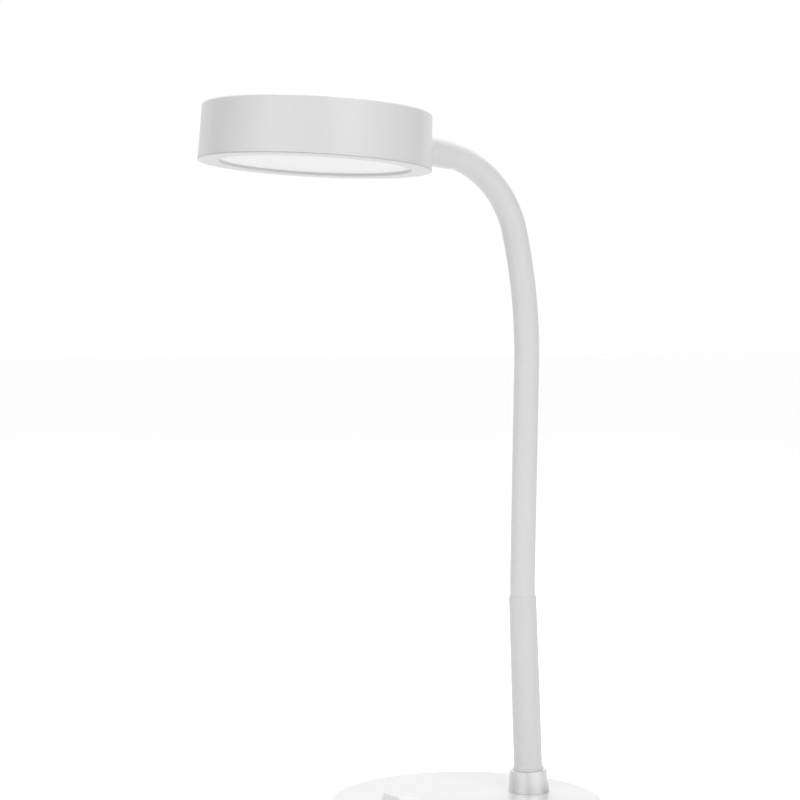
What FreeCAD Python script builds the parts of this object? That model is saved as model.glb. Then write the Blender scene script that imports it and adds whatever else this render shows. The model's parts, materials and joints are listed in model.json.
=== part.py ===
import FreeCAD
import Part
import math
import os

from FreeCAD import Vector

# Round-headed gooseneck lamp: a weighted disc base, a flexible neck and a shallow disc head.
# Millimetres. Origin at the centre of the base's footprint, +Z up, head over -Y, neck foot at +Y.

os.makedirs("parts", exist_ok=True)

# ---------------------------------------------------------------- driving dimensions
base_radius = 66.0
base_height = 20.7          # table to the top of the cover
base_edge_round = 2.0
cover_wall = 2.4
cover_top = 2.5
pad_thickness = 2.0         # rubber pad glued under the base
pad_margin = 4.6            # rim of the base to the edge of the pad
plate_thickness = 2.0

neck_foot_y = 36.2          # where the neck's axis leaves the top of the base
neck_lean = 2.35            # degrees that the stiff lower tube leans forward
collar_height = 11.0        # top of the collar above the base, along the lean
gasket_thickness = 1.7      # rubber ring in the collar's recess, on the base
neck_radius = 6.1           # outside of the smooth sleeve
lower_length = 101.5        # base top to the first joint, along the lean
sleeve_top = 97.3           # base top to the end of the thick lower sleeve

first_heading = -1.2        # degrees forward of upright where the flexible run begins
straight_run = 108.4
wide_run = 66.0
wide_radius = 250.0
tight_run = 53.6
last_turn = 4.2             # degrees left between the end of the tight bend and the ferrule
link_count = 19             # sleeve links between the first joint and the head's joint

head_radius = 53.9
head_height = 26.0
head_draft = 2.1            # degrees of wall draft, narrower at the top
head_edge_round = 1.2
head_tilt = 3.2             # degrees that the front of the head is raised
ferrule_reach = 19.3        # rim of the head to the head's joint
head_joint_height = 12.0    # the head's joint above the head's underside
ferrule_droop = 5.0         # degrees between the ferrule and the head's own plane
bezel_width = 9.7           # rim of the head to the lens opening
bezel_thickness = 1.3       # at the lens opening
bezel_edge = 0.5            # height of its rim on the outside, below the seam

rocker_y = -38.1            # the switch is on the lamp's middle plane
rocker_width = 10.6
rocker_half_length = 6.7    # along its top
rocker_end_rise = 6.2       # ends of the level rocker above the cover
rocker_dish = 1.6           # middle of the top below its ends
rocker_pivot_depth = 1.0    # pivot below the top of the cover
rocker_tilt = 13.0          # degrees either side of level; it rests with its front end up
bezel_rise = 1.6            # rim of the switch above the cover
bezel_overlap = 1.1         # rim of the switch beyond its body, all round

# ---------------------------------------------------------------- fits and gaps
running = 0.05              # radial clearance of a turning pin
slip = 0.1                  # gap between pieces that are assembled by hand
thread_fit = 0.02           # radial gap between a thread and its nut
joint_gap = 0.3             # gap between neighbouring links of the neck
seam = 0.1                  # visible line between the head shell and its bezel

# ---------------------------------------------------------------- derived sizes, base
plate_bottom = pad_thickness
plate_top = plate_bottom + plate_thickness
cover_underside = base_height - cover_top
cover_inside = base_radius - cover_wall

# ---------------------------------------------------------------- derived sizes, neck
head_reach = head_radius + ferrule_reach
ferrule_heading = 90.0 - head_tilt - ferrule_droop
tight_turn = ferrule_heading - last_turn - first_heading - math.degrees(wide_run / wide_radius)
tight_radius = tight_run / math.radians(tight_turn)
flexible_run = straight_run + wide_run + tight_run
link_pitch = flexible_run / link_count
sleeve_wall = 1.1
sleeve_bore = neck_radius - sleeve_wall
# the hose bends smoothly inside straight links, so it needs room at each link's domed end
dome_reach = math.sqrt(neck_radius ** 2 - sleeve_bore ** 2)
hose_wander = dome_reach * math.tan(link_pitch / 2 / tight_radius) + dome_reach ** 2 / 2 / tight_radius
hose_radius = sleeve_bore - 1.25 * hose_wander - slip
hose_bore = hose_radius - 1.2
thread_radius = sleeve_bore
thread_bore = thread_radius - 2.0
boot_radius = neck_radius + 0.9     # lower sleeve, outside
gasket_radius = boot_radius + 1.4
lead_radius = 0.7
lead_offset = 1.0           # each neck lead's distance from the lamp's middle plane


# ---------------------------------------------------------------- helpers
def save(node, shape):
    shape.exportStep("parts/" + node + ".step")


def cylinder(radius, bottom, top, x=0.0, y=0.0):
    return Part.makeCylinder(radius, top - bottom, Vector(x, y, bottom))


def tube(outer, inner, bottom, top, x=0.0, y=0.0):
    return cylinder(outer, bottom, top, x, y).cut(cylinder(inner, bottom - 1, top + 1, x, y))


def box(x_size, y_size, bottom, top, x=0.0, y=0.0):
    corner = Vector(x - x_size / 2, y - y_size / 2, bottom)
    return Part.makeBox(x_size, y_size, top - bottom, corner)


def revolved(outline):
    """Solid of revolution about Z from (radius, height) points."""
    points = [Vector(r, 0, h) for r, h in outline]
    face = Part.Face(Part.makePolygon(points + points[:1]))
    return face.revolve(Vector(0, 0, 0), Vector(0, 0, 1), 360)


def hexagon(across_flats, bottom, top, bore):
    corner = across_flats / math.sqrt(3)
    angles = [math.radians(60 * k) for k in range(7)]
    outline = [Vector(corner * math.cos(a), corner * math.sin(a), bottom) for a in angles]
    prism = Part.Face(Part.makePolygon(outline)).extrude(Vector(0, 0, top - bottom))
    return prism.cut(cylinder(bore, bottom - 1, top + 1))


def round_edges(shape, radius, wanted):
    """Fillet the circular edges whose centre height and radius pass the test."""
    edges = [e for e in shape.Edges if isinstance(e.Curve, Part.Circle)
             and wanted(e.Curve.Center.z, e.Curve.Radius)]
    return shape.makeFillet(radius, edges)


def on_circle(radius, count, first=0.0):
    angles = [math.radians(first + 360.0 * k / count) for k in range(count)]
    return [(radius * math.cos(a), radius * math.sin(a)) for a in angles]


def forward(heading):
    """Unit vector in the lamp's middle plane, leaning forward of upright by the heading."""
    return Vector(0, -math.sin(math.radians(heading)), math.cos(math.radians(heading)))


def placed(shape, origin, heading):
    """Move a shape drawn along Z so that it starts at the origin and points along the heading."""
    moved = shape.copy()
    moved.rotate(Vector(0, 0, 0), Vector(1, 0, 0), heading)
    moved.translate(origin)
    return moved


def tangent_arc(start, corner, end):
    """Arc between two straight runs, from start to end, which lie the same distance from their corner."""
    incoming = (corner - start).normalize()
    outgoing = (end - corner).normalize()
    half_turn = incoming.getAngle(outgoing) / 2
    depth = (corner - start).Length * math.tan(half_turn / 2)
    towards_centre = (outgoing - incoming).normalize()
    return Part.Arc(start, corner + towards_centre * depth, end).toShape()


def route(points):
    """Edges of straight runs joined by tangent arcs, each as large as its shorter run allows."""
    edges = []
    start = points[0]
    for before, corner, after in zip(points, points[1:], points[2:]):
        trim = 0.45 * min((corner - before).Length, (after - corner).Length)
        entry = corner + (before - corner).normalize() * trim
        leave = corner + (after - corner).normalize() * trim
        edges.append(Part.LineSegment(start, entry).toShape())
        edges.append(tangent_arc(entry, corner, leave))
        start = leave
    edges.append(Part.LineSegment(start, points[-1]).toShape())
    return edges


def swept(edges, radii):
    """Rod, or tube when two radii are given, along edges that join smoothly."""
    path = Part.Wire(edges)
    start = edges[0].Vertexes[0].Point
    direction = edges[0].tangentAt(edges[0].FirstParameter)
    circles = [Part.Wire(Part.makeCircle(r, start, direction)) for r in radii]
    return path.makePipe(Part.Face(circles))


# ---------------------------------------------------------------- neck layout
foot = Vector(0, neck_foot_y, base_height)


def along_lower(distance):
    return foot + forward(neck_lean) * distance


def neck_runs():
    """The flexible run as (length, radius) pieces: straight, wide bend, tight bend."""
    return [(straight_run, None), (wide_run, wide_radius), (tight_run, tight_radius)]


def neck_point(distance):
    """Point and heading on the neck's centre line, measured from the first joint."""
    point = along_lower(lower_length)
    heading = first_heading
    left = distance
    for length, radius in neck_runs():
        step = min(left, length)
        if radius is None:
            point = point + forward(heading) * step
        else:
            turn = math.degrees(step / radius)
            chord = 2 * radius * math.sin(math.radians(turn / 2))
            point = point + forward(heading + turn / 2) * chord
            heading = heading + turn
        left = left - step
    return point, heading


joints = [neck_point(link_pitch * k)[0] for k in range(link_count + 1)]


def heading_between(start, end):
    return math.degrees(math.atan2(start.y - end.y, end.z - start.z))


# ---------------------------------------------------------------- head layout
head_joint = joints[-1]
head_up = forward(-head_tilt)
head_back = Vector(0, math.cos(math.radians(head_tilt)), -math.sin(math.radians(head_tilt)))
head_origin = head_joint - head_back * head_reach - head_up * head_joint_height
draft_slope = math.tan(math.radians(head_draft))


def in_head(shape):
    return placed(shape, head_origin, -head_tilt)


def on_ferrule(shape):
    return placed(shape, head_joint, ferrule_heading)


def head_point(x, y, z):
    return head_origin + Vector(x, 0, 0) + head_back * y + head_up * z


def head_wall_radius(height):
    return head_radius - height * draft_slope


# distance along the ferrule from the head's joint to the outside and inside of the wall
wall_height = head_joint_height + (head_reach - head_radius) * math.tan(math.radians(ferrule_droop))
ferrule_length = (head_reach - head_wall_radius(wall_height)) / math.cos(math.radians(ferrule_droop))
head_wall = 2.2
head_nut_face = ferrule_length + head_wall + 1.6

lip_radius = head_radius - 5.3      # inside of the bezel's lip
lip_height = 5.0

# heights above the head's underside
lens_top = bezel_thickness + 2.0
board_face = 13.4
board_back = board_face + 1.6
spreader_top = board_back + 2.0
head_screw_places = on_circle(30.0, 4, 45.0)
led_rings = [(ring * (head_radius - 17.9) / 3, 6 * ring) for ring in (1, 2, 3)]
lead_hole_y = head_radius - 23.9
lead_entry_y = head_radius - 5.9
lead_height = 19.4
# the end of the head's stem, as a distance from the head's axis and a height above its underside
stem_overhang = 4.6                 # beyond the near face of its nut
stem_end_run = head_nut_face + stem_overhang
stem_end_y = head_reach - stem_end_run * math.cos(math.radians(ferrule_droop))
stem_end_low = head_joint_height + stem_end_run * math.sin(math.radians(ferrule_droop)) - thread_radius


# ---------------------------------------------------------------- base layout
screw_places = on_circle(base_radius - 12.0, 3)
screw_boss, screw_access = 4.0, 4.0     # radii of the boss and of the hole through the rubber pad
screw_pilot, board_pilot = 1.25, 0.9    # radii of the holes that the screws cut into
sink_depth = 1.7
ballast_thickness = 5.5
neck_pad_thickness = 1.6
neck_pad_face = -cover_top - neck_pad_thickness
washer_thickness = 1.2
stem_bottom = neck_pad_face - washer_thickness - 4.9
stem_top = 12.0
hose_start = 4.2
hose_end = 10.0             # beyond the head's joint, inside the ferrule

socket_height = 11.0
socket_flange_face = base_radius - 1.2
socket_flange_radius = 5.5
socket_thread_radius = 4.0
socket_bore_radius = 2.9
socket_body, socket_tail = 12.8, 3.0        # lengths of the threaded body and of its thinner end
tab_length, tab_width, tab_offset = 2.9, 2.4, 1.9
tab_y = socket_flange_face - socket_body - socket_tail - tab_length / 2

rocker_pivot = Vector(0, rocker_y, base_height - rocker_pivot_depth)
rocker_top = rocker_pivot_depth + rocker_end_rise       # ends above the pivot, level
skirt_depth = 0.4           # lower edge of the end faces below the pivot
nose_depth = 6.2
bridge_thickness, bridge_length = 0.5, 9.0
post_thickness = 1.6
pin_radius = 0.8
tilt_sine, tilt_cosine = math.sin(math.radians(rocker_tilt)), math.cos(math.radians(rocker_tilt))
# an end face stands upright at this distance from the pivot when its end is pressed down
end_distance = rocker_half_length * tilt_cosine + rocker_top * tilt_sine
skirt_reach = (end_distance + skirt_depth * tilt_sine) / tilt_cosine
rocker_gap = 0.3
housing_bottom = 8.4
housing_wall = 0.9
housing_floor = housing_bottom + 1.4
housing_inner = (rocker_width + 2 * rocker_gap, 2 * (math.hypot(skirt_reach, skirt_depth) + rocker_gap))
housing_outer = (housing_inner[0] + 2 * housing_wall, housing_inner[1] + 2 * housing_wall)
terminal_width = 4.8
terminal_top = housing_floor + 0.8
terminal_end = housing_outer[1] / 2 + 5.6       # beyond the rocker's pivot

board_centre = (26.0, -6.0)
board_size = (34.0, 44.0)
board_bottom = 11.0
board_top = board_bottom + 1.6
board_screws_at = [(board_centre[0], board_centre[1] + side * 18.5) for side in (-1, 1)]
neck_connector = (12.0, 12.2)
supply_connector = (38.0, 12.2)
switch_connector = (14.0, -24.2)
connector_depth = 6.0
connector_height = board_top + 2.0


# ---------------------------------------------------------------- base
def base_cover():
    shell = cylinder(base_radius, plate_bottom, base_height)
    shell = round_edges(shell, base_edge_round, lambda z, r: z > cover_underside)
    shell = shell.cut(cylinder(cover_inside, plate_bottom - 1, cover_underside))
    for x, y in screw_places:
        shell = shell.fuse(cylinder(screw_boss, plate_top, cover_underside + 0.5, x, y))
    for x, y in board_screws_at:
        shell = shell.fuse(cylinder(2.6, board_top, cover_underside + 0.5, x, y))
    pad = placed(cylinder(12.0, neck_pad_face, -1.0), foot, neck_lean)
    shell = shell.fuse(pad)
    for x, y in screw_places:
        shell = shell.cut(cylinder(screw_pilot, plate_top - 1, cover_underside - 1, x, y))
    for x, y in board_screws_at:
        shell = shell.cut(cylinder(board_pilot, board_top - 1, cover_underside, x, y))
    shell = shell.cut(placed(cylinder(thread_radius + 0.2, -12, 2), foot, neck_lean))
    opening = (housing_outer[0] + 2 * slip, housing_outer[1] + 2 * slip)
    shell = shell.cut(box(*opening, cover_underside - 1, base_height + 1, 0, rocker_y))
    shell = shell.cut(rearward_cylinder(socket_thread_radius + slip, cover_inside - 5, base_radius + 5))
    shell = shell.cut(rearward_cylinder(socket_flange_radius + 2 * slip, socket_flange_face, base_radius + 5))
    return shell.removeSplitter()


def base_plate():
    plate = cylinder(cover_inside - slip, plate_bottom, plate_top)
    for x, y in screw_places:
        plate = plate.cut(cylinder(1.7, plate_bottom - 1, plate_top + 1, x, y))
        sink = Part.makeCone(3.3, 1.6, sink_depth, Vector(x, y, plate_bottom))
        plate = plate.cut(sink)
    return plate


def rubber_pad():
    """Flat disc that the base stands on, with a hole under each screw."""
    pad = round_edges(cylinder(base_radius - pad_margin, 0.0, plate_bottom), 0.6, lambda z, r: z < 0.1)
    for x, y in screw_places:
        pad = pad.cut(cylinder(screw_access, -1, plate_bottom + 1, x, y))
    return pad


def base_screws():
    screws = []
    for x, y in screw_places:
        head = Part.makeCone(3.2, 1.4, sink_depth, Vector(x, y, plate_bottom + 0.1))
        shank = cylinder(1.4, plate_bottom + 1.0, plate_top + 8.0, x, y)
        screw = head.fuse(shank)
        slot = box(0.7, 3.4, plate_bottom - 1, plate_bottom + 0.8, x, y)
        cross = box(3.4, 0.7, plate_bottom - 1, plate_bottom + 0.8, x, y)
        pilot = cylinder(screw_pilot, plate_top, plate_top + 20, x, y)
        tip = screw.common(pilot)
        body = screw.cut(cylinder(9, plate_top, plate_top + 20, x, y))
        screws.append(body.fuse(tip).cut(slot).cut(cross).removeSplitter())
    return Part.makeCompound(screws)


def ballast_weight():
    """Disc segment in front of the neck, notched round the switch."""
    radius = base_radius - 18.0
    weight = cylinder(radius, plate_top, plate_top + ballast_thickness)
    behind = neck_foot_y - 25.2
    weight = weight.cut(box(2 * base_radius, base_radius, 0, base_height, 0, behind + base_radius / 2))
    rear = rocker_y + housing_outer[1] / 2 + 0.5
    notch = box(housing_outer[0] + 1.0, 2 * radius, 0, base_height, 0, rear - radius)
    return weight.cut(notch)


def level_foot(ring):
    """Cut a ring on the leaning neck's axis level where it stands on the base."""
    return placed(ring, foot, neck_lean).common(cylinder(base_radius, base_height, 2 * base_height))


def collar():
    """Tapered metal ring round the foot of the lower sleeve, with a recess underneath for the gasket."""
    inside, recess = boot_radius + 0.4, gasket_radius + slip
    top, bottom, roof = inside + 1.7, inside + 2.6, gasket_thickness + slip
    ring = revolved([(recess, roof), (recess, -1.0), (bottom, -1.0), (bottom, 1.0),
                     (top, collar_height), (inside, collar_height), (inside, roof)])
    ring = round_edges(ring, 0.15, lambda z, r: z > collar_height - 0.1 and r > top - 0.1)
    return level_foot(ring)


def neck_gasket():
    return level_foot(tube(gasket_radius, neck_radius + slip, -1.0, gasket_thickness))


def neck_stem():
    thread = tube(thread_radius, thread_bore, stem_bottom, 0.6)
    barrel = tube(neck_radius, thread_bore, 0.6, stem_top)
    socket = cylinder(hose_radius + running, hose_start - 0.2, stem_top + 1)
    return placed(thread.fuse(barrel).cut(socket).removeSplitter(), foot, neck_lean)


def stem_washer():
    ring = tube(9.5, thread_radius + slip, neck_pad_face - washer_thickness, neck_pad_face)
    return placed(ring, foot, neck_lean)


def stem_nut():
    top = neck_pad_face - washer_thickness
    return placed(hexagon(14.0, top - 4.0, top, thread_radius + thread_fit), foot, neck_lean)


# ---------------------------------------------------------------- rocker switch
def on_rocker(shape):
    """Tilt a shape drawn about the level rocker's pivot so that its front end is up."""
    return placed(shape, rocker_pivot, -rocker_tilt)


def rocker_button():
    """Dished paddle whose sloping end faces each stand upright when that end is pressed down."""
    middle = Vector(0, 0, rocker_top - rocker_dish)
    front_top = Vector(0, -rocker_half_length, rocker_top)
    rear_top = Vector(0, rocker_half_length, rocker_top)
    front_low = Vector(0, -skirt_reach, -skirt_depth)
    rear_low = Vector(0, skirt_reach, -skirt_depth)
    nose = [Vector(0, 4.0, -skirt_depth), Vector(0, 3.0, -nose_depth),
            Vector(0, -3.0, -nose_depth), Vector(0, -4.0, -skirt_depth)]
    corners = [rear_top, rear_low] + nose + [front_low, front_top]
    edges = [Part.Arc(front_top, middle, rear_top).toShape()]
    edges += [Part.LineSegment(a, b).toShape() for a, b in zip(corners, corners[1:])]
    side = Part.Face(Part.Wire(edges))
    paddle = side.extrude(Vector(rocker_width, 0, 0))
    paddle.translate(Vector(-rocker_width / 2, 0, 0))
    low = rocker_top - rocker_dish - 0.01
    rim = [e for e in paddle.Edges if e.BoundBox.ZMin > low]
    paddle = paddle.makeFillet(0.6, rim)
    pin_hole = Part.makeCylinder(pin_radius + running, 40, Vector(-20, 0, 0), Vector(1, 0, 0))
    return on_rocker(paddle.cut(pin_hole))


def contact_bridge():
    return on_rocker(box(6.0, bridge_length, -nose_depth - bridge_thickness, -nose_depth))


def rocker_pin():
    length = housing_outer[0] - 0.2
    corner = rocker_pivot - Vector(length / 2, 0, 0)
    return Part.makeCylinder(pin_radius, length, corner, Vector(1, 0, 0))


def snap_wedge(side):
    """Barb on one end of the body that catches under the cover."""
    top, bottom, reach = cover_underside - 0.05, cover_underside - 2.6, 0.8
    wall = housing_outer[1] / 2 - 0.2
    outline = [Vector(0, wall, bottom), Vector(0, wall + 0.2 + reach, top), Vector(0, wall, top)]
    wedge = Part.Face(Part.makePolygon(outline + outline[:1])).extrude(Vector(5.0, 0, 0))
    wedge.translate(Vector(-2.5, 0, 0))
    if side < 0:
        wedge.rotate(Vector(0, 0, 0), Vector(0, 0, 1), 180)
    wedge.translate(Vector(0, rocker_y, 0))
    return wedge


def switch_housing():
    rim_size = [size + 2 * bezel_overlap for size in housing_outer]
    rim = box(*rim_size, base_height, base_height + bezel_rise, 0, rocker_y)
    rim = rim.makeFillet(1.4, [e for e in rim.Edges if e.BoundBox.ZLength > bezel_rise / 2])
    top = [e for e in rim.Edges if e.BoundBox.ZMin > base_height + bezel_rise - 0.01]
    body = rim.makeFillet(0.5, top).fuse(box(*housing_outer, housing_bottom, base_height, 0, rocker_y))
    body = body.fuse([snap_wedge(1), snap_wedge(-1)])
    body = body.cut(box(*housing_inner, housing_floor, base_height + 5, 0, rocker_y))
    pin_hole = Part.makeCylinder(pin_radius, 40, rocker_pivot - Vector(20, 0, 0), Vector(1, 0, 0))
    slot = box(terminal_width + 2 * slip, 2 * terminal_end, housing_floor, terminal_top + slip, 0, rocker_y)
    return body.cut(pin_hole).cut(slot).removeSplitter()


def switch_terminals():
    """Brass strips on the housing's floor: one with a post under the bridge's middle, one under its front."""
    lowest = nose_depth + bridge_thickness
    half_post = post_thickness / 2
    middle_top = rocker_pivot.z - (lowest + half_post * tilt_sine) / tilt_cosine - rocker_gap
    front_top = rocker_pivot.z - lowest * tilt_cosine - bridge_length / 2 * tilt_sine - rocker_gap
    front_post = bridge_length / 2 - half_post
    strips = []
    for side, inner, post_y, post_top in ((1, -half_post, 0.0, middle_top),
                                          (-1, front_post - half_post, -front_post, front_top)):
        length = terminal_end - inner
        strip = box(terminal_width, length, housing_floor, terminal_top, 0,
                    rocker_y + side * (inner + length / 2))
        post = box(3.0, post_thickness, housing_floor, post_top, 0, rocker_y + post_y)
        strips.append(strip.fuse(post).removeSplitter())
    return Part.makeCompound(strips)


# ---------------------------------------------------------------- power socket
def rearward_cylinder(radius, start, end):
    return Part.makeCylinder(radius, end - start, Vector(0, start, socket_height), Vector(0, 1, 0))


def power_socket():
    face = socket_flange_face + 1.0
    body = rearward_cylinder(socket_flange_radius, socket_flange_face, face)
    shoulder = socket_flange_face - socket_body
    body = body.fuse(rearward_cylinder(socket_thread_radius, shoulder, socket_flange_face))
    body = body.fuse(rearward_cylinder(3.4, shoulder - socket_tail, shoulder))
    return body.cut(rearward_cylinder(socket_bore_radius, face - 10.0, face + 1)).removeSplitter()


def socket_pin():
    pin = rearward_cylinder(1.0, socket_flange_face - 9.0 + slip, socket_flange_face - 1.5)
    return round_rear(pin, 0.4)


def round_rear(pin, radius):
    circles = [e for e in pin.Edges if isinstance(e.Curve, Part.Circle)]
    rim = [e for e in circles if e.Curve.Center.y > pin.BoundBox.YMax - 0.01]
    return pin.makeFillet(radius, rim)


def socket_nut():
    nut = hexagon(10.0, 0, 2.5, socket_thread_radius + thread_fit)
    nut.rotate(Vector(0, 0, 0), Vector(1, 0, 0), -90)
    wall_at_corner = math.sqrt(cover_inside ** 2 - 6.0 ** 2)
    nut.translate(Vector(0, wall_at_corner - 2.5 - slip, socket_height))
    return nut


def socket_tabs():
    low, high = socket_height - tab_width / 2, socket_height + tab_width / 2
    tabs = [box(0.8, tab_length, low, high, side * tab_offset, tab_y) for side in (-1, 1)]
    return Part.makeCompound(tabs)


# ---------------------------------------------------------------- driver
def driver_board():
    board = box(*board_size, board_bottom, board_top, *board_centre)
    for x, y in board_screws_at:
        board = board.cut(cylinder(1.2, 0, base_height, x, y))
    return board


def driver_parts():
    x, y = board_centre
    parts = [box(10.0, connector_depth, board_top, board_top + 4.0, *place)
             for place in (neck_connector, supply_connector)]
    parts.append(box(8.0, connector_depth, board_top, board_top + 4.0, *switch_connector))
    parts.append(box(8.0, 8.0, board_top, board_top + 3.8, x - 9, y - 4))
    parts.append(box(5.0, 4.0, board_top, board_top + 1.5, x + 2, y))
    parts.append(tube(3.15, 0.4, board_top, board_top + 4.4, x + 10, y - 8))
    parts.append(tube(3.15, 0.4, board_top, board_top + 4.4, x + 10, y + 2))
    for k in range(5):
        parts.append(box(1.6, 3.2, board_top, board_top + 0.6, x - 6 + 3.2 * k, y + 9))
    return Part.makeCompound(parts)


def board_screws():
    screws = []
    for x, y in board_screws_at:
        head = cylinder(1.9, board_bottom - 1.2, board_bottom, x, y)
        shank = cylinder(board_pilot, board_bottom - 0.5, cover_underside - 0.8, x, y)
        slot = box(0.5, 2.4, board_bottom - 2, board_bottom - 0.6, x, y)
        screws.append(head.fuse(shank).cut(slot).removeSplitter())
    return Part.makeCompound(screws)


def supply_leads():
    """Socket to switch, socket to board, and switch to board."""
    tab_top = socket_height + tab_width / 2 + lead_radius
    strip_top = terminal_top + lead_radius
    rear_terminal = Vector(0, rocker_y + terminal_end - 3.0, strip_top)
    front_terminal = Vector(0, rocker_y - terminal_end + 3.0, strip_top)
    into_supply = Vector(supply_connector[0], supply_connector[1] + connector_depth / 2, connector_height)
    into_switch = Vector(switch_connector[0], switch_connector[1] - connector_depth / 2, connector_height)
    to_switch = [Vector(-tab_offset, tab_y, tab_top), Vector(-12.0, tab_y, tab_top),
                 Vector(-21.0, 36.0, tab_top - 1), Vector(-22.0, 16.0, 11.4), Vector(-14.0, -3.0, 11.4),
                 rear_terminal + Vector(-1.5, 11, 0.2), rear_terminal]
    to_board = [Vector(tab_offset, tab_y, tab_top), Vector(14.0, tab_y, tab_top),
                Vector(30.0, tab_y - 5.6, tab_top), Vector(into_supply.x, 26.0, connector_height),
                into_supply]
    from_switch = [front_terminal, front_terminal + Vector(1.0, -6.0, 0.4), Vector(11.0, -56.0, 12.0),
                   Vector(16.5, -46.0, 13.5), into_switch - Vector(0, 8.0, 0), into_switch]
    return Part.makeCompound([swept(route(points), (lead_radius,))
                              for points in (to_switch, to_board, from_switch)])


# ---------------------------------------------------------------- neck, all lengths from the top of the base
def lower_sleeve():
    """Thick sleeve round the neck's stiff foot, flared a little in the collar, with a rounded shoulder."""
    inside = neck_radius + running
    flare = boot_radius + 0.3
    start = gasket_thickness + 0.8
    shoulder_height, shoulder_reach = 2.0, boot_radius - 0.28 - inside
    turns = [math.radians(15 * k) for k in range(7)]
    shoulder = [(inside + shoulder_reach * math.cos(a), sleeve_top - shoulder_height * (1 - math.sin(a)))
                for a in turns]
    outline = [(inside, start), (flare, start), (flare, collar_height + 0.9),
               (boot_radius, collar_height + 3.7), (boot_radius - 0.05, sleeve_top / 2)] + shoulder
    return placed(revolved(outline), foot, neck_lean)


def neck_root():
    """The sleeve's fixed foot, from the stem up to the dome of the first joint."""
    body = cylinder(neck_radius, stem_top + slip, lower_length)
    dome = Part.makeSphere(neck_radius, Vector(0, 0, lower_length))
    bore = cylinder(sleeve_bore, 0, lower_length + 20)
    return placed(body.fuse(dome).cut(bore).removeSplitter(), foot, neck_lean)


def neck_link(start, end):
    """One length of sleeve, from a socket round its lower joint to a dome on its upper one."""
    length = (end - start).Length
    body = cylinder(neck_radius, 0, length)
    dome = Part.makeSphere(neck_radius, Vector(0, 0, length))
    socket = Part.makeSphere(neck_radius + joint_gap)
    bore = cylinder(sleeve_bore, -20, length + 20)
    link = body.fuse(dome).cut(socket).cut(bore).removeSplitter()
    return placed(link, start, heading_between(start, end))


def neck_edges(first, last):
    """Centre line from a place on the stiff foot's axis to a place on the ferrule's axis."""
    ease = 8.0
    joint, heading = neck_point(0)
    start = along_lower(lower_length - ease)
    edges = [Part.LineSegment(along_lower(first), start).toShape()]
    leave = joint + forward(heading) * ease
    edges.append(tangent_arc(start, joint, leave))
    bend_start = neck_point(straight_run)[0]
    edges.append(Part.LineSegment(leave, bend_start).toShape())
    wide_end = neck_point(straight_run + wide_run)[0]
    edges.append(Part.Arc(bend_start, neck_point(straight_run + wide_run / 2)[0], wide_end).toShape())
    tight_end, heading = neck_point(flexible_run - ease)
    middle = neck_point((straight_run + wide_run + flexible_run - ease) / 2)[0]
    edges.append(Part.Arc(wide_end, middle, tight_end).toShape())
    # the last arc runs from the bend onto the ferrule's axis
    direction = forward(heading)
    inward = forward(ferrule_heading)
    across = head_joint - tight_end
    cross = direction.y * inward.z - direction.z * inward.y
    reach = (across.y * inward.z - across.z * inward.y) / cross
    corner = tight_end + direction * reach
    ferrule_start = corner + inward * reach
    edges.append(tangent_arc(tight_end, corner, ferrule_start))
    edges.append(Part.LineSegment(ferrule_start, head_joint + inward * last).toShape())
    return edges


def neck_hose():
    return swept(neck_edges(hose_start, hose_end), (hose_radius, hose_bore))


def neck_leads():
    """Two leads from the driver board, through the stem and the hose, to the back of the LED board."""
    below_stem = along_lower(stem_bottom - 4.6)
    x, y = neck_connector
    start = Vector(x, y + connector_depth / 2, connector_height)
    base_part = route([start, start + Vector(0, 4.0, 0), Vector(0, 27.0, 5.9), below_stem, along_lower(0)])
    neck_part = neck_edges(0, ferrule_length)
    entry_height = head_joint_height + (head_reach - lead_entry_y) * math.tan(math.radians(ferrule_droop))
    head_part = route([head_joint + forward(ferrule_heading) * ferrule_length,
                       head_point(0, lead_entry_y, entry_height),
                       head_point(0, lead_entry_y - 7.0, lead_height),
                       head_point(0, lead_hole_y, lead_height), head_point(0, lead_hole_y, board_back)])
    lead = swept(base_part + neck_part + head_part, (lead_radius,))
    sides = []
    for side in (-1, 1):
        copy = lead.copy()
        copy.translate(Vector(side * lead_offset, 0, 0))
        sides.append(copy)
    return Part.makeCompound(sides)


# ---------------------------------------------------------------- head
def head_shell():
    bottom = bezel_edge + seam
    inside = head_wall
    outline = [(0, head_height), (head_wall_radius(head_height), head_height),
               (head_wall_radius(bottom), bottom), (head_wall_radius(bottom) - inside, bottom),
               (head_wall_radius(head_height) - inside, head_height - 2.4), (0, head_height - 2.4)]
    shell = revolved(outline)
    shell = round_edges(shell, head_edge_round, lambda z, r: z > head_height - 0.1 and r > head_radius / 2)
    shell = in_head(shell)
    above_lip = lip_height + slip
    inner = in_head(revolved([(0, above_lip), (head_wall_radius(above_lip) - 0.5, above_lip),
                              (head_wall_radius(head_height) - 0.5, head_height - 0.5),
                              (0, head_height - 0.5)]))
    pad = on_ferrule(cylinder(thread_radius + 3.6, ferrule_length - 4, head_nut_face)).common(inner)
    shell = shell.fuse(pad)
    for x, y in head_screw_places:
        boss = cylinder(3.0, spreader_top, head_height - 2.0, x, y)
        shell = shell.fuse(in_head(boss))
    for x, y in head_screw_places:
        shell = shell.cut(in_head(cylinder(1.05, spreader_top - 1, head_height - 3.4, x, y)))
    return shell.cut(on_ferrule(cylinder(thread_radius + 0.2, ferrule_length - 8, 40))).removeSplitter()


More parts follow.
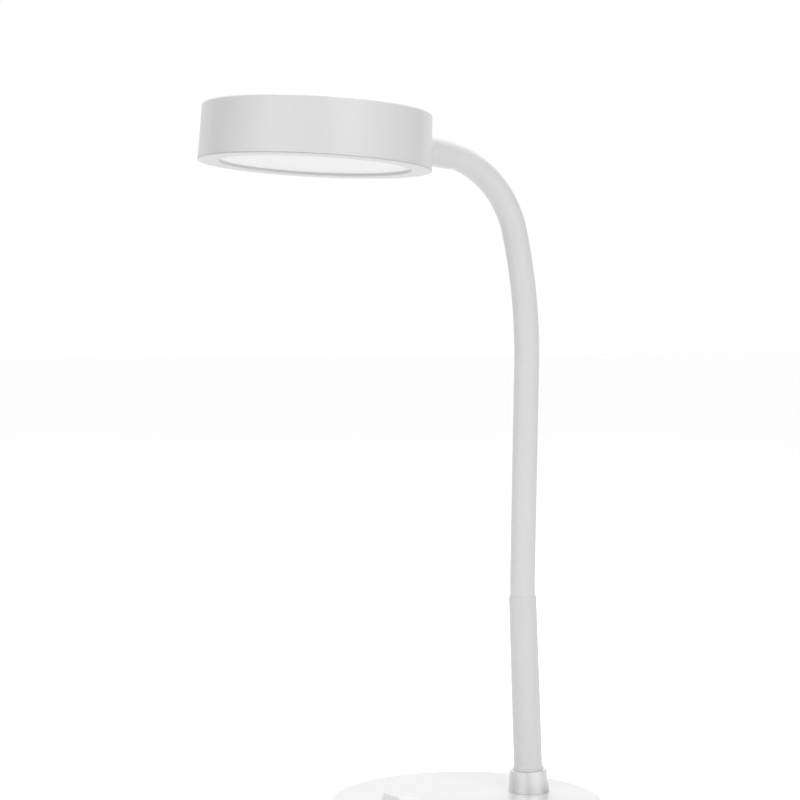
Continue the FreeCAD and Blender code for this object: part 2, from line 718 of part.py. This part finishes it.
def head_bezel():
    """Ring with a rounded rim and a lip that snaps inside the shell and holds the lens."""
    opening = head_radius - bezel_width
    lip_outside = lip_radius + 2.0
    outline = [(opening, 0), (head_radius, 0), (head_radius, bezel_edge), (lip_outside, bezel_edge),
               (lip_outside, lip_height), (lip_radius, lip_height), (lip_radius, bezel_thickness),
               (opening, bezel_thickness)]
    ring = revolved(outline)
    ring = round_edges(ring, 0.8 * bezel_edge, lambda z, r: z < 0.01 and r > head_radius - 0.01)
    ring = round_edges(ring, 0.4, lambda z, r: z < 0.01 and r < opening + 0.01)
    return in_head(ring)


def diffuser_lens():
    return in_head(cylinder(lip_radius - 0.3, bezel_thickness + running, lens_top))


def reflector_cone():
    """Cone from the lens up to the LED board, which passes just inside the end of the head's stem."""
    thickness, slope, stem_gap = 0.9, 0.465, 0.7
    bottom, top = lens_top + slip, board_face - slip
    wide = stem_end_y - stem_gap + (stem_end_low - bottom) * slope
    narrow = wide - (top - bottom) * slope
    outline = [(wide - thickness, bottom), (wide, bottom), (narrow, top), (narrow - thickness, top)]
    return in_head(revolved(outline))


def led_board():
    disc = cylinder(lip_radius - 7.6, board_face, board_back)
    for x, y in head_screw_places:
        disc = disc.cut(cylinder(1.4, 0, 40, x, y))
    return in_head(disc)


def uv_leds():
    chips = []
    for radius, count in led_rings:
        for k in range(count):
            chip = box(3.5, 2.8, board_face - 0.8, board_face, radius, 0)
            chip.rotate(Vector(0, 0, 0), Vector(0, 0, 1), 360.0 * k / count)
            chips.append(chip)
    return in_head(Part.makeCompound(chips))


def heat_spreader():
    disc = cylinder(lip_radius - 6.1, board_back, spreader_top)
    disc = disc.cut(cylinder(4.0, 0, 40, 0, lead_hole_y))
    for x, y in head_screw_places:
        disc = disc.cut(cylinder(1.4, 0, 40, x, y))
    return in_head(disc)


def head_screws():
    screws = []
    for x, y in head_screw_places:
        head = cylinder(2.2, board_face - 1.5, board_face, x, y)
        shank = cylinder(1.2, board_face - 0.5, spreader_top, x, y)
        tip = cylinder(1.05, spreader_top - 0.5, spreader_top + 4.5, x, y)
        slot = box(0.6, 2.6, board_face - 3, board_face - 0.9, x, y)
        cross = box(2.6, 0.6, board_face - 3, board_face - 0.9, x, y)
        screws.append(in_head(head.fuse(shank).fuse(tip).cut(slot).cut(cross).removeSplitter()))
    return Part.makeCompound(screws)


def head_ferrule():
    inside, end = hose_radius + 0.4, ferrule_length + 3
    thin, thick = neck_radius + 0.65, neck_radius + 1.05
    body = revolved([(inside, 0.6), (thin, 0.6), (thick, ferrule_length), (thick, end), (inside, end)])
    body = body.cut(Part.makeSphere(neck_radius + joint_gap))
    body = body.cut(cylinder(thread_radius + thread_fit, hose_end + 0.2, end + 1))
    wall = in_head(cylinder(head_radius + 10, -10, 50))
    cone = in_head(revolved([(0, -20), (head_wall_radius(-20) + slip, -20), (head_wall_radius(50) + slip, 50),
                             (0, 50)]))
    return on_ferrule(body).cut(cone.common(wall))


def head_stem():
    return on_ferrule(tube(thread_radius, thread_bore, hose_end + 0.3, stem_end_run))


def head_nut():
    return on_ferrule(hexagon(13.0, head_nut_face, head_nut_face + 3.5, thread_radius + thread_fit))


# ---------------------------------------------------------------- nodes
single_nodes = [
    base_cover, base_plate, rubber_pad, base_screws, ballast_weight,
    collar, neck_gasket, neck_stem, stem_washer, stem_nut, lower_sleeve, neck_root, neck_hose, neck_leads,
    rocker_button, contact_bridge, rocker_pin, switch_housing, switch_terminals,
    power_socket, socket_pin, socket_tabs, socket_nut,
    driver_board, driver_parts, board_screws, supply_leads,
    head_shell, head_bezel, diffuser_lens, reflector_cone, led_board, uv_leds, heat_spreader,
    head_screws, head_ferrule, head_stem, head_nut,
]
for make in single_nodes:
    save(make.__name__, make())

for number, (start, end) in enumerate(zip(joints, joints[1:]), 1):
    save("neck_link_%02d" % number, neck_link(start, end))
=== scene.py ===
import json
import math

import bmesh
import bpy
from mathutils import Matrix, Vector


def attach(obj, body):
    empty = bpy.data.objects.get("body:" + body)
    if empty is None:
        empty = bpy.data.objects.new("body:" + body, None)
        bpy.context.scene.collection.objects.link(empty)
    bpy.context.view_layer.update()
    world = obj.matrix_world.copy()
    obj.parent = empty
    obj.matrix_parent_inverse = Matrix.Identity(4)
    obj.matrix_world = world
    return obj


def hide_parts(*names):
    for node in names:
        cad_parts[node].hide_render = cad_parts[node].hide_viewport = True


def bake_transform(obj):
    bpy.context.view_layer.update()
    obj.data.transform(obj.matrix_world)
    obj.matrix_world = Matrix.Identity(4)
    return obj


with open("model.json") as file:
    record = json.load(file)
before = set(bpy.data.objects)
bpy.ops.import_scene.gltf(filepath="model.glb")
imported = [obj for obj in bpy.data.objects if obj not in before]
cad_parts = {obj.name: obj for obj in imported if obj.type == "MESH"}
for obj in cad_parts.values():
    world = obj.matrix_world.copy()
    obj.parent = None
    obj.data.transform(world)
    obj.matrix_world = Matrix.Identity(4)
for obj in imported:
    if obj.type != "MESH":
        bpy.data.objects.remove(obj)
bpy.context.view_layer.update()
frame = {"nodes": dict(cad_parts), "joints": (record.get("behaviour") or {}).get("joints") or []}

MM = 0.001
scene = bpy.context.scene
nodes = frame["nodes"]
joints = {j["name"]: j for j in frame["joints"]}

# ---------------------------------------------------------------- sizes shared with the CAD source
neck_lean = 2.35
first_heading = -1.2
straight_run = 108.4 * MM
wide_run, wide_radius = 66 * MM, 250 * MM
tight_run, tight_radius = 53.6 * MM, 48.231 * MM
link_pitch = 12 * MM
link_count = 19
lower_length = 101.5 * MM
root_start, hose_start = 12.1 * MM, 4.4 * MM
stem_bottom = -10.2 * MM
neck_radius = 6.1 * MM
sleeve_bore = 5.0 * MM
hose_radius, hose_bore = 4.2 * MM, 3.0 * MM
lead_radius, lead_core, lead_offset = 0.7 * MM, 0.315 * MM, 1.0 * MM
head_tilt = 3.2
ferrule_heading = 81.8
head_reach = 73.2 * MM
head_joint_height = 12 * MM
ferrule_length = 19.88 * MM
hose_end = 9.8 * MM


def forward(heading):
    """Unit vector in the lamp's middle plane, leaning forward of upright by the heading."""
    a = math.radians(heading)
    return Vector((0, -math.sin(a), math.cos(a)))


def joint_point(name):
    return Vector(joints[name]["pos_m"])


first_joint = joint_point("neck_joint_01")
head_joint = joint_point("neck_joint_20")
foot = first_joint - forward(neck_lean) * lower_length
head_up = forward(-head_tilt)
head_back = Vector((0, math.cos(math.radians(head_tilt)), -math.sin(math.radians(head_tilt))))
head_origin = head_joint - head_back * head_reach - head_up * head_joint_height

# ---------------------------------------------------------------- camera
camera_azimuth = math.radians(59.4)
camera_distance = 1.033
camera_height = 0.253
camera_pitch = math.radians(2.14)
camera_offset = -0.03243
camera_lens = 96.61
right = Vector((math.cos(camera_azimuth), math.sin(camera_azimuth), 0))
level = Vector((-math.sin(camera_azimuth), math.cos(camera_azimuth), 0))
camera_data = bpy.data.cameras.new("camera")
camera = bpy.data.objects.new("camera", camera_data)
scene.collection.objects.link(camera)
camera_data.lens = camera_lens
camera_data.sensor_width = 36
camera_data.clip_start, camera_data.clip_end = 0.05, 60
camera.location = -level * camera_distance + right * camera_offset + Vector((0, 0, camera_height))
aim = level * math.cos(camera_pitch) - Vector((0, 0, math.sin(camera_pitch)))
camera.rotation_mode = "QUATERNION"
camera.rotation_quaternion = aim.to_track_quat("-Z", "Y")
scene.camera = camera
scene.view_settings.view_transform = "Standard"


# ---------------------------------------------------------------- materials
class Shader:
    """A node material with one Principled shader and short helpers for its procedural detail."""

    def __init__(self, name, colour, roughness, metallic=0.0, **sockets):
        self.material = bpy.data.materials.new(name)
        self.material.use_nodes = True
        self.tree = self.material.node_tree
        self.shader = next(n for n in self.tree.nodes if n.type == "BSDF_PRINCIPLED")
        self.put("Base Color", (*colour, 1))
        self.put("Roughness", roughness)
        self.put("Metallic", metallic)
        for socket, value in sockets.items():
            self.put(socket.replace("_", " "), value)
        self.place = self.node("ShaderNodeTexCoord").outputs["Object"]
        self.height = None

    def put(self, socket, value):
        self.shader.inputs[socket].default_value = value

    def node(self, kind, **settings):
        made = self.tree.nodes.new(kind)
        for key, value in settings.items():
            setattr(made, key, value)
        return made

    def link(self, source, target):
        self.tree.links.new(source, target)

    def stretched(self, scale):
        mapping = self.node("ShaderNodeMapping")
        mapping.inputs["Scale"].default_value = scale
        self.link(self.place, mapping.inputs["Vector"])
        return mapping.outputs["Vector"]

    def noise(self, scale, detail=3.0, roughness=0.55, stretch=None):
        texture = self.node("ShaderNodeTexNoise")
        texture.inputs["Scale"].default_value = scale
        texture.inputs["Detail"].default_value = detail
        texture.inputs["Roughness"].default_value = roughness
        self.link(self.stretched(stretch) if stretch else self.place, texture.inputs["Vector"])
        return texture.outputs["Fac"]

    def spread(self, value, low, high, start=0.3, end=0.7):
        """Map a texture's middle range onto low to high."""
        ranged = self.node("ShaderNodeMapRange")
        for socket, number in (("From Min", start), ("From Max", end), ("To Min", low), ("To Max", high)):
            ranged.inputs[socket].default_value = number
        self.link(value, ranged.inputs["Value"])
        return ranged.outputs["Result"]

    def vary_colour(self, value, first, second):
        mixed = self.node("ShaderNodeMix", data_type="RGBA")
        mixed.inputs["A"].default_value = (*first, 1)
        mixed.inputs["B"].default_value = (*second, 1)
        self.link(value, mixed.inputs["Factor"])
        self.link(mixed.outputs["Result"], self.shader.inputs["Base Color"])

    def vary_roughness(self, value, low, high):
        self.link(self.spread(value, low, high), self.shader.inputs["Roughness"])

    def bump(self, value, distance, strength=1.0):
        """Add relief of a height in metres; later calls stack on earlier ones."""
        made = self.node("ShaderNodeBump")
        made.inputs["Distance"].default_value = distance
        made.inputs["Strength"].default_value = strength
        self.link(value, made.inputs["Height"])
        if self.height:
            self.link(self.height, made.inputs["Normal"])
        self.height = made.outputs["Normal"]
        self.link(self.height, self.shader.inputs["Normal"])


def grey(value):
    return (value, value, value)


def shade(colour, factor):
    return tuple(c * factor for c in colour)


def moulded(name, colour, roughness, grain=0.5, relief=0.004, **sockets):
    """Injection-moulded plastic: fine spark-eroded grain, faint cloudy tone and uneven gloss."""
    s = Shader(name, colour, roughness, **sockets)
    s.vary_colour(s.spread(s.noise(38, 2), 0, 1), shade(colour, 0.985), shade(colour, 1.0))
    s.vary_roughness(s.noise(160, 4), roughness * 0.9, roughness * 1.1)
    s.bump(s.noise(1 / (grain * MM), 2), relief * MM)
    return s.material


def soft_rubber(name, colour, roughness):
    """Soft-touch sleeve: matt skin, faint drawn lines along the neck and a little dust."""
    s = Shader(name, colour, roughness, Sheen_Weight=0.22, Sheen_Roughness=0.5)
    s.vary_colour(s.spread(s.noise(260, 5, stretch=(1, 1, 0.25)), 0, 1), shade(colour, 0.97), colour)
    s.vary_roughness(s.noise(420, 3), roughness * 0.9, roughness * 1.1)
    s.bump(s.noise(2600, 2), 0.003 * MM)
    s.bump(s.noise(700, 2, stretch=(1, 1, 0.06)), 0.006 * MM)
    return s.material


def metal(name, colour, roughness, grain=(1, 1, 30), scale=240, relief=0.0015, **sockets):
    """Worked metal: fine tool marks stretched one way, with patchy roughness."""
    s = Shader(name, colour, roughness, 1.0, **sockets)
    s.vary_colour(s.spread(s.noise(120, 4), 0, 1), shade(colour, 0.95), shade(colour, 1.02))
    s.vary_roughness(s.noise(scale, 4, stretch=grain), roughness * 0.8, roughness * 1.25)
    s.bump(s.noise(scale * 4, 3, stretch=grain), relief * MM)
    return s.material


shell_white = moulded("shell_white", grey(0.77), 0.32, IOR=1.48)
base_white = moulded("base_white", grey(0.81), 0.13, grain=1.4, relief=0.001, IOR=1.5)
bezel_white = moulded("bezel_white", grey(0.71), 0.40, IOR=1.45)
button_white = moulded("button_white", grey(0.86), 0.34, grain=0.35)
lens_white = moulded("lens_white", grey(0.93), 0.42, grain=0.25, relief=0.008,
                     Subsurface_Weight=0.25, Subsurface_Scale=0.002)
reflector_white = moulded("reflector_white", grey(0.88), 0.6)
sleeve_grey = soft_rubber("sleeve_grey", grey(0.76), 0.46)
boot_grey = soft_rubber("boot_grey", grey(0.74), 0.44)
gasket_grey = soft_rubber("gasket_grey", grey(0.68), 0.6)
pad_black = moulded("pad_black", grey(0.035), 0.85, grain=0.9, relief=0.08)
socket_black = moulded("socket_black", grey(0.03), 0.45, grain=0.3, relief=0.02)
plate_black = moulded("plate_black", grey(0.045), 0.55, grain=0.6, relief=0.05, Coat_Weight=0.15)
lead_black = moulded("lead_black", grey(0.03), 0.42)
board_green = moulded("board_green", (0.02, 0.16, 0.06), 0.35, grain=1.2, relief=0.03)
parts_black = moulded("parts_black", grey(0.05), 0.5)
led_yellow = moulded("led_yellow", (0.85, 0.80, 0.45), 0.3)
solder_white = moulded("solder_white", grey(0.85), 0.4)
collar_metal = metal("collar_metal", grey(0.73), 0.46, grain=(1, 1, 14))
screw_metal = metal("screw_metal", grey(0.62), 0.30, grain=(1, 1, 1), scale=700)
hose_metal = metal("hose_metal", grey(0.55), 0.35, grain=(1, 1, 1), scale=400)
cast_metal = metal("cast_metal", grey(0.22), 0.62, grain=(1, 1, 1), scale=500, relief=0.2)
spreader_metal = metal("spreader_metal", grey(0.74), 0.38, grain=(20, 1, 1))
contact_metal = metal("contact_metal", (0.80, 0.60, 0.26), 0.28, grain=(1, 1, 1), scale=600)

finishes = {
    shell_white: ("head_shell",),
    base_white: ("base_cover",),
    bezel_white: ("head_bezel",),
    button_white: ("rocker_button", "switch_housing"),
    lens_white: ("diffuser_lens",),
    reflector_white: ("reflector_cone",),
    sleeve_grey: ("head_ferrule",),
    gasket_grey: ("neck_gasket",),
    boot_grey: ("lower_sleeve",),
    pad_black: ("rubber_pad",),
    socket_black: ("power_socket",),
    plate_black: ("base_plate",),
    lead_black: ("supply_leads",),
    board_green: ("driver_board",),
    parts_black: ("driver_parts",),
    led_yellow: ("uv_leds",),
    solder_white: ("led_board",),
    collar_metal: ("collar",),
    screw_metal: ("base_screws", "head_screws", "board_screws", "rocker_pin", "stem_washer", "stem_nut",
                  "head_nut", "socket_nut", "neck_stem", "head_stem"),
    cast_metal: ("ballast_weight",),
    spreader_metal: ("heat_spreader",),
    contact_metal: ("switch_terminals", "contact_bridge", "socket_pin", "socket_tabs"),
}
for material, names in finishes.items():
    for name in names:
        nodes[name].data.materials.clear()
        nodes[name].data.materials.append(material)


# ---------------------------------------------------------------- mesh helpers
def new_piece(name, points, faces, material, flat_faces=()):
    mesh = bpy.data.meshes.new(name)
    mesh.from_pydata([tuple(p) for p in points], [], faces)
    mesh.validate()
    mesh.update()
    flat = set(flat_faces)
    for polygon in mesh.polygons:
        polygon.use_smooth = polygon.index not in flat
    mesh.materials.append(material)
    piece = bpy.data.objects.new(name, mesh)
    scene.collection.objects.link(piece)
    return piece


def ring_tube(name, stations, radii, material, sides=48):
    """Closed tube along stations of (point, heading, sideways shift), with a (outer, inner) pair for each."""
    points, faces, flat = [], [], []
    count = len(stations)
    angles = [2 * math.pi * i / sides for i in range(sides)]
    for wall in (0, 1):
        for (point, heading, shift), pair in zip(stations, radii):
            across = forward(heading - 90) * pair[wall]
            for a in angles:
                points.append(point + Vector((math.cos(a) * pair[wall] + shift, 0, 0)) + across * math.sin(a))
    inner, top = count * sides, (count - 1) * sides
    for i in range(sides):
        j = (i + 1) % sides
        for k in range(0, top, sides):
            ring = (k + i, k + j, k + sides + j, k + sides + i)
            faces.append(ring)
            faces.append(tuple(inner + corner for corner in reversed(ring)))
        flat += [len(faces), len(faces) + 1]
        faces.append((i, inner + i, inner + j, j))
        faces.append((top + j, inner + top + j, inner + top + i, top + i))
    return new_piece(name, points, faces, material, flat)


# ---------------------------------------------------------------- neck line
ease = 8 * MM       # the corners at both ends of the bending run are rounded over this much either side
flexible_run = straight_run + wide_run + tight_run


def bend_run(distance):
    """Point and heading on the bending run: straight, wide bend, tight bend."""
    point, heading, left = first_joint.copy(), first_heading, distance
    for length, radius in ((straight_run, None), (wide_run, wide_radius), (tight_run, tight_radius)):
        step = min(left, length)
        if radius is None:
            point += forward(heading) * step
        else:
            turn = math.degrees(step / radius)
            point += forward(heading + turn / 2) * 2 * radius * math.sin(math.radians(turn / 2))
            heading += turn
        left -= step
    return point, heading


def eased(start, corner, end, t):
    return start.lerp(corner, t).lerp(corner.lerp(end, t), t)


def neck_place(distance):
    """Point and heading on the neck's line, measured from the first joint; negative is on the stiff foot."""
    beyond = distance - flexible_run
    if distance <= -ease:
        return first_joint + forward(neck_lean) * distance, neck_lean
    if beyond >= ease:
        return head_joint + forward(ferrule_heading) * beyond, ferrule_heading
    if distance < ease:
        t = (distance + ease) / (2 * ease)
        start = first_joint - forward(neck_lean) * ease
        end = first_joint + forward(first_heading) * ease
        return eased(start, first_joint, end, t), neck_lean + (first_heading - neck_lean) * t
    if beyond > -ease:
        t = (beyond + ease) / (2 * ease)
        start, heading = bend_run(flexible_run - ease)
        end = head_joint + forward(ferrule_heading) * ease
        corner = start + forward(heading) * (end - start).length / 2
        return eased(start, corner, end, t), heading + (ferrule_heading - heading) * t
    return bend_run(distance)


def stations(first, last, step, shift=0.0):
    """Places along the neck, with one very near each end so that the shading meets the next piece."""
    count = max(1, round((last - first) / step))
    edge = 0.1 * MM
    places = [first, first + edge]
    places += [first + (last - first) * k / count for k in range(1, count)]
    places += [last - edge, last]
    return [(*neck_place(s), shift) for s in places]


# ---------------------------------------------------------------- neck pieces, one across each joint
sleeve_end = 2.2 * MM           # inside the ferrule
blend_reach = 5 * MM            # start and end points are worked out this far either side of each joint; nothing uses them
short_of_head = 0.2 * MM        # the last joint's end point is worked out this far before the joint; nothing uses it
tube_step, lead_step = 1 * MM, 3 * MM
sides_of_lead = {"left": -lead_offset, "right": lead_offset}
# Both orders of a blend's two bodies say the same motion, but the blend's arithmetic can fail in either.
# This order is meant for poses where all joints are at min or all at max. It is no general cure: at other
# poses with the neck also bent sideways, a piece can still fly off. No blend is made here: both branches
# below only bake each piece in place.
upper_first = (5, 8, 11, 17, 20)
bodies = ["base"] + ["neck_%02d" % k for k in range(1, link_count + 1)] + ["head"]


def plain(places, outer, inner):
    return [(outer, inner)] * len(places)


def wound(places):
    """A hose wound from strip: every other ring a little smaller."""
    groove = 0.25 * MM
    return [(hose_radius - (groove if k % 2 else 0), hose_bore) for k in range(len(places))]


for k, (below, above) in enumerate(zip(bodies, bodies[1:])):
    at = link_pitch * k
    number = "%02d" % (k + 1)
    first, last = at - link_pitch / 2, at + link_pitch / 2
    sleeve_from = hose_from = lead_from = first
    sleeve_to = hose_to = lead_to = last
    blend_to = at + blend_reach
    if below == "base":
        sleeve_from = root_start - lower_length
        hose_from = hose_start - lower_length
        lead_from = -lower_length
    if above == "head":
        sleeve_to, hose_to, lead_to = at + sleeve_end, at + hose_end, at + ferrule_length
        blend_to = at - short_of_head
    start, end = neck_place(at - blend_reach)[0], neck_place(blend_to)[0]
    places = stations(sleeve_from, sleeve_to, tube_step)
    sleeve = ring_tube("sleeve_" + number, places, plain(places, neck_radius, sleeve_bore), sleeve_grey, 64)
    places = stations(hose_from, hose_to, tube_step)
    hose = ring_tube("hose_" + number, places, wound(places), hose_metal, 24)
    pieces = [sleeve, hose]
    for side, shift in sides_of_lead.items():
        places = stations(lead_from, lead_to, lead_step, shift)
        walls = plain(places, lead_radius, lead_core)
        lead = ring_tube("lead_%s_%s" % (number, side), places, walls, lead_black, 12)
        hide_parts("neck_leads")
        pieces.append(lead)
    for piece in pieces:
        if k + 1 in upper_first:
            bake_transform(piece)
        else:
            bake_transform(piece)
    if below == "base":
        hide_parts("neck_root")
    if above != "head":
        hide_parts("neck_link_" + number)
    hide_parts("neck_hose")


# ---------------------------------------------------------------- the leads' ends in the base and the head
def head_point(y, z):
    return head_origin + head_back * y * MM + head_up * z * MM


def lead_end(name, points, shift, body):
    """Round lead on one smooth line through the inside of the base or the head."""
    curve = bpy.data.curves.new(name, "CURVE")
    curve.dimensions = "3D"
    curve.bevel_depth = lead_radius
    curve.bevel_resolution = 3
    curve.use_fill_caps = True
    spline = curve.splines.new("NURBS")
    spline.points.add(len(points) - 1)
    for place, point in zip(spline.points, points):
        place.co = (point.x + shift, point.y, point.z, 1)
    spline.order_u = 3
    spline.use_endpoint_u = True
    curve.materials.append(lead_black)
    piece = bpy.data.objects.new(name, curve)
    scene.collection.objects.link(piece)
    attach(piece, body)
    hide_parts("neck_leads")


connector = Vector((12.0, 15.2, 14.6)) * MM
below_stem = foot + forward(neck_lean) * (stem_bottom - 4.6 * MM)
base_route = [connector, connector + Vector((0, 4 * MM, 0)), Vector((0, 27.0, 5.9)) * MM, below_stem, foot]
wall_exit = head_joint + forward(ferrule_heading) * ferrule_length
head_route = [wall_exit, head_point(48.0, 14.2), head_point(41.0, 19.4), head_point(30.0, 19.4),
              head_point(30.0, 15.0)]
for side, shift in sides_of_lead.items():
    lead_end("lead_base_" + side, base_route, shift, "base")
    lead_end("lead_head_" + side, head_route, shift, "head")

# ---------------------------------------------------------------- stage and light
floor_size = 12.0
floor_glow = 0.5
shown_white = ("Is Camera Ray", "Is Glossy Ray", "Is Transmission Ray")


def seen_directly(tree, ray_names):
    """A socket that is 1 for any of the named kinds of ray."""
    rays = tree.nodes.new("ShaderNodeLightPath")
    total = rays.outputs[ray_names[0]]
    for name in ray_names[1:]:
        either = tree.nodes.new("ShaderNodeMath")
        either.operation = "MAXIMUM"
        tree.links.new(total, either.inputs[0])
        tree.links.new(rays.outputs[name], either.inputs[1])
        total = either.outputs[0]
    return total


def floor_material():
    """Pale paper floor that shows white where no shadow falls."""
    s = Shader("floor", grey(0.86), 0.9)
    s.vary_colour(s.spread(s.noise(3, 2), 0, 1), grey(0.85), grey(0.87))
    output = next(n for n in s.tree.nodes if n.type == "OUTPUT_MATERIAL")
    glow = s.node("ShaderNodeEmission")
    glow.inputs["Color"].default_value = (1, 1, 1, 1)
    share = s.node("ShaderNodeMath", operation="MULTIPLY")
    share.inputs[1].default_value = floor_glow
    s.link(seen_directly(s.tree, shown_white), share.inputs[0])
    s.link(share.outputs[0], glow.inputs["Strength"])
    added = s.node("ShaderNodeAddShader")
    s.link(s.shader.outputs[0], added.inputs[0])
    s.link(glow.outputs[0], added.inputs[1])
    s.link(added.outputs[0], output.inputs["Surface"])
    return s.material


floor = new_piece("floor", [(-floor_size, -floor_size, 0), (floor_size, -floor_size, 0),
                            (floor_size, floor_size, 0), (-floor_size, floor_size, 0)],
                  [(0, 1, 2, 3)], floor_material(), [0])

world = bpy.data.worlds.new("studio")
scene.world = world
world.use_nodes = True
tree = world.node_tree
tree.nodes.clear()
output = tree.nodes.new("ShaderNodeOutputWorld")
seen = tree.nodes.new("ShaderNodeBackground")
seen.inputs["Color"].default_value = (1, 1, 1, 1)
seen.inputs["Strength"].default_value = 1.0
light = tree.nodes.new("ShaderNodeBackground")
light.inputs["Color"].default_value = (1, 1, 1, 1)
light.inputs["Strength"].default_value = 0.50
mixed = tree.nodes.new("ShaderNodeMixShader")
tree.links.new(seen_directly(tree, shown_white), mixed.inputs["Fac"])
tree.links.new(light.outputs[0], mixed.inputs[1])
tree.links.new(seen.outputs[0], mixed.inputs[2])
tree.links.new(mixed.outputs[0], output.inputs["Surface"])


def around(angle, distance, height):
    """A place at an angle from the camera's side of the lamp, positive to the camera's right."""
    a = math.radians(angle)
    return (-level * math.cos(a) + right * math.sin(a)) * distance + Vector((0, 0, height))


middle = Vector((0, -0.03, 0.2))


def softbox(name, place, size, power):
    lamp = bpy.data.lights.new(name, "AREA")
    lamp.shape = "RECTANGLE"
    lamp.size, lamp.size_y = size
    lamp.energy = power
    holder = bpy.data.objects.new(name, lamp)
    scene.collection.objects.link(holder)
    holder.location = place
    holder.rotation_mode = "QUATERNION"
    holder.rotation_quaternion = (middle - place).to_track_quat("-Z", "Y")


def flag(name, angle, half_width, distance, height, tone):
    """A grey card that only reflections see, curved round the lamp."""
    glow = bpy.data.materials.new(name)
    glow.use_nodes = True
    glow.node_tree.nodes.clear()
    emission = glow.node_tree.nodes.new("ShaderNodeEmission")
    emission.inputs["Color"].default_value = (tone, tone, tone, 1)
    out = glow.node_tree.nodes.new("ShaderNodeOutputMaterial")
    glow.node_tree.links.new(emission.outputs[0], out.inputs["Surface"])
    steps = 8
    points, faces = [], []
    for k in range(steps + 1):
        a = angle - half_width + 2 * half_width * k / steps
        points += [around(a, distance, 0.02), around(a, distance, height)]
    for k in range(0, 2 * steps, 2):
        faces.append((k, k + 1, k + 3, k + 2))
    card = new_piece(name, points, faces, glow)
    for visible in ("camera", "diffuse", "shadow", "transmission", "volume_scatter"):
        setattr(card, "visible_" + visible, False)


softbox("key", around(32, 1.4, 1.1), (0.9, 1.2), 7.3)
softbox("fill", around(-40, 1.6, 0.9), (1.0, 1.2), 4.5)
softbox("top", level * 0.6 + Vector((0, 0, 1.6)), (1.0, 1.0), 13)
flag("flag_front", 0, 14, 2.4, 2.4, 0.5)
flag("flag_left", -99, 20, 2.0, 2.4, 0.35)
flag("flag_right", 106, 26, 2.0, 2.4, 0.2)
